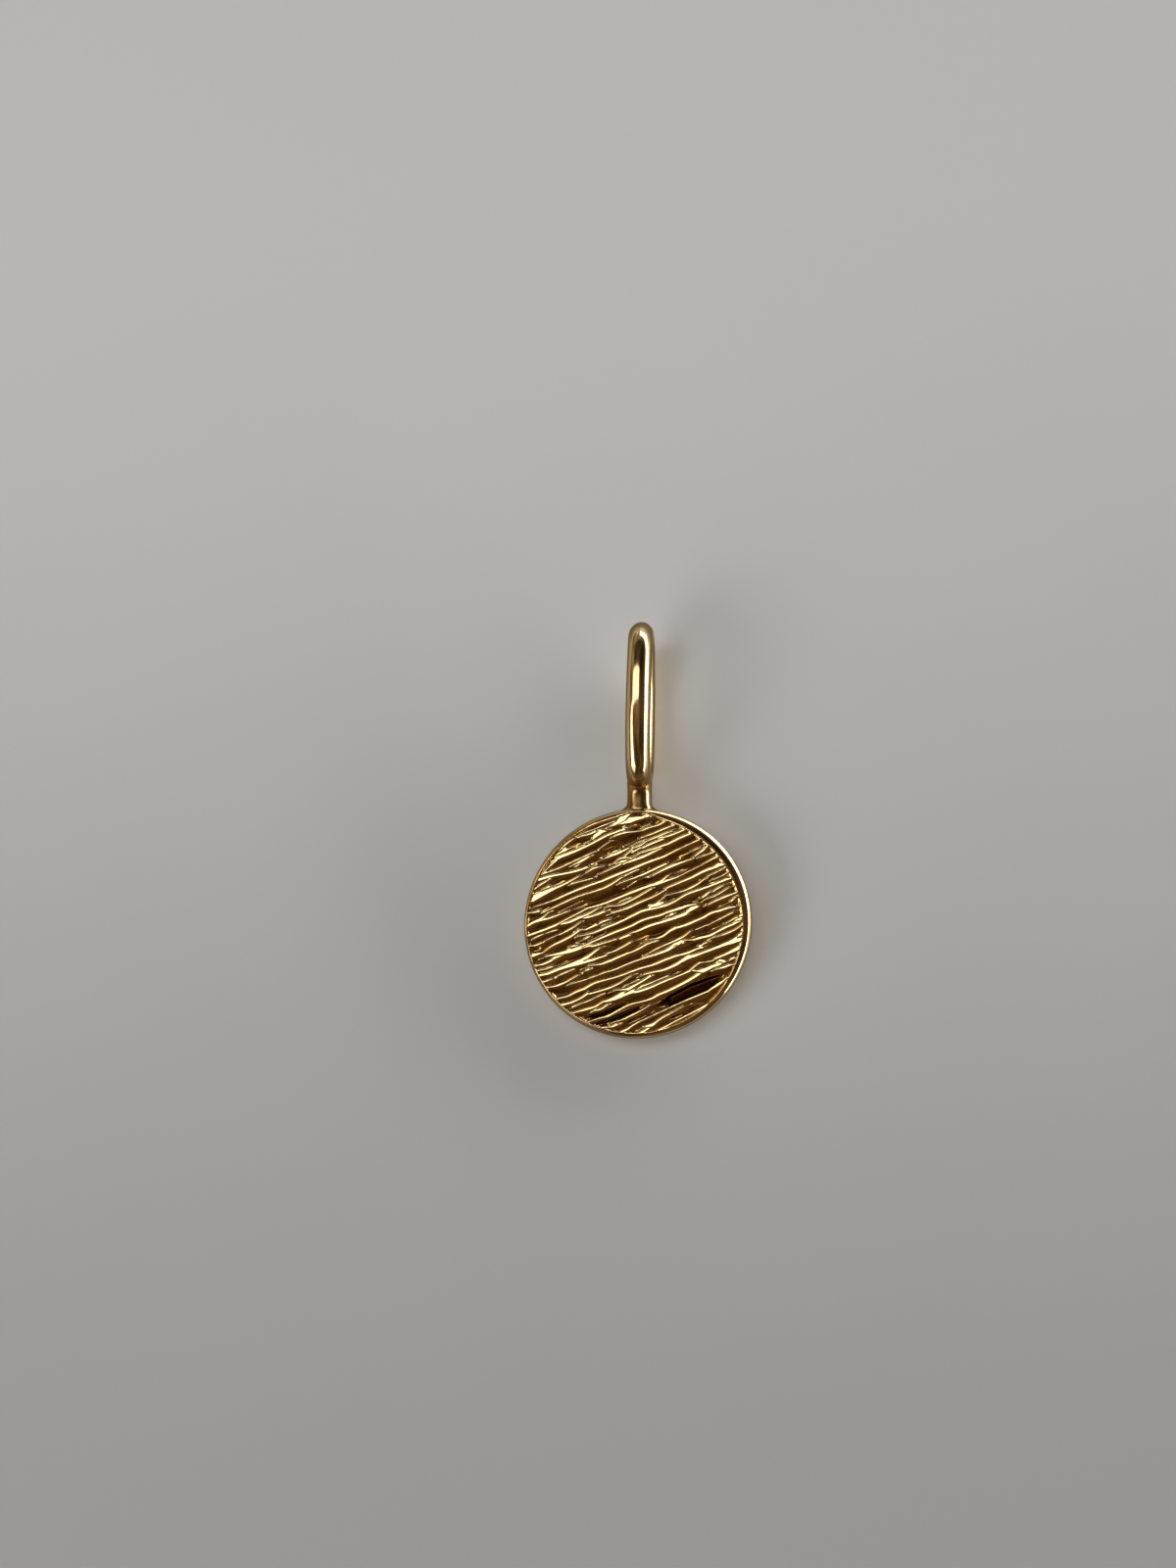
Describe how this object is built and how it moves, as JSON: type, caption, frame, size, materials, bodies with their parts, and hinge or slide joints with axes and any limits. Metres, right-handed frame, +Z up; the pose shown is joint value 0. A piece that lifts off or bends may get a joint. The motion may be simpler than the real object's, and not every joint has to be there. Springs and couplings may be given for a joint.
{
  "type": "zodiac charm",
  "caption": "Round charm with a flat bark-like face of slanting flutes and ridges, on a tall oval wire bail that stands at right angles to the disc.",
  "frame": {"origin": "middle of the bounding box's base, on the surface the charm lies on", "axes": "+Z up out of the surface, +Y from the disc towards the top of the bail, +X to the right with the face up"},
  "size_m": [0.011, 0.0202, 0.0043],
  "materials": {
    "gold": "polished yellow gold"
  },
  "bodies": {
    "root": {"charm": "gold"}
  },
  "joints": []
}
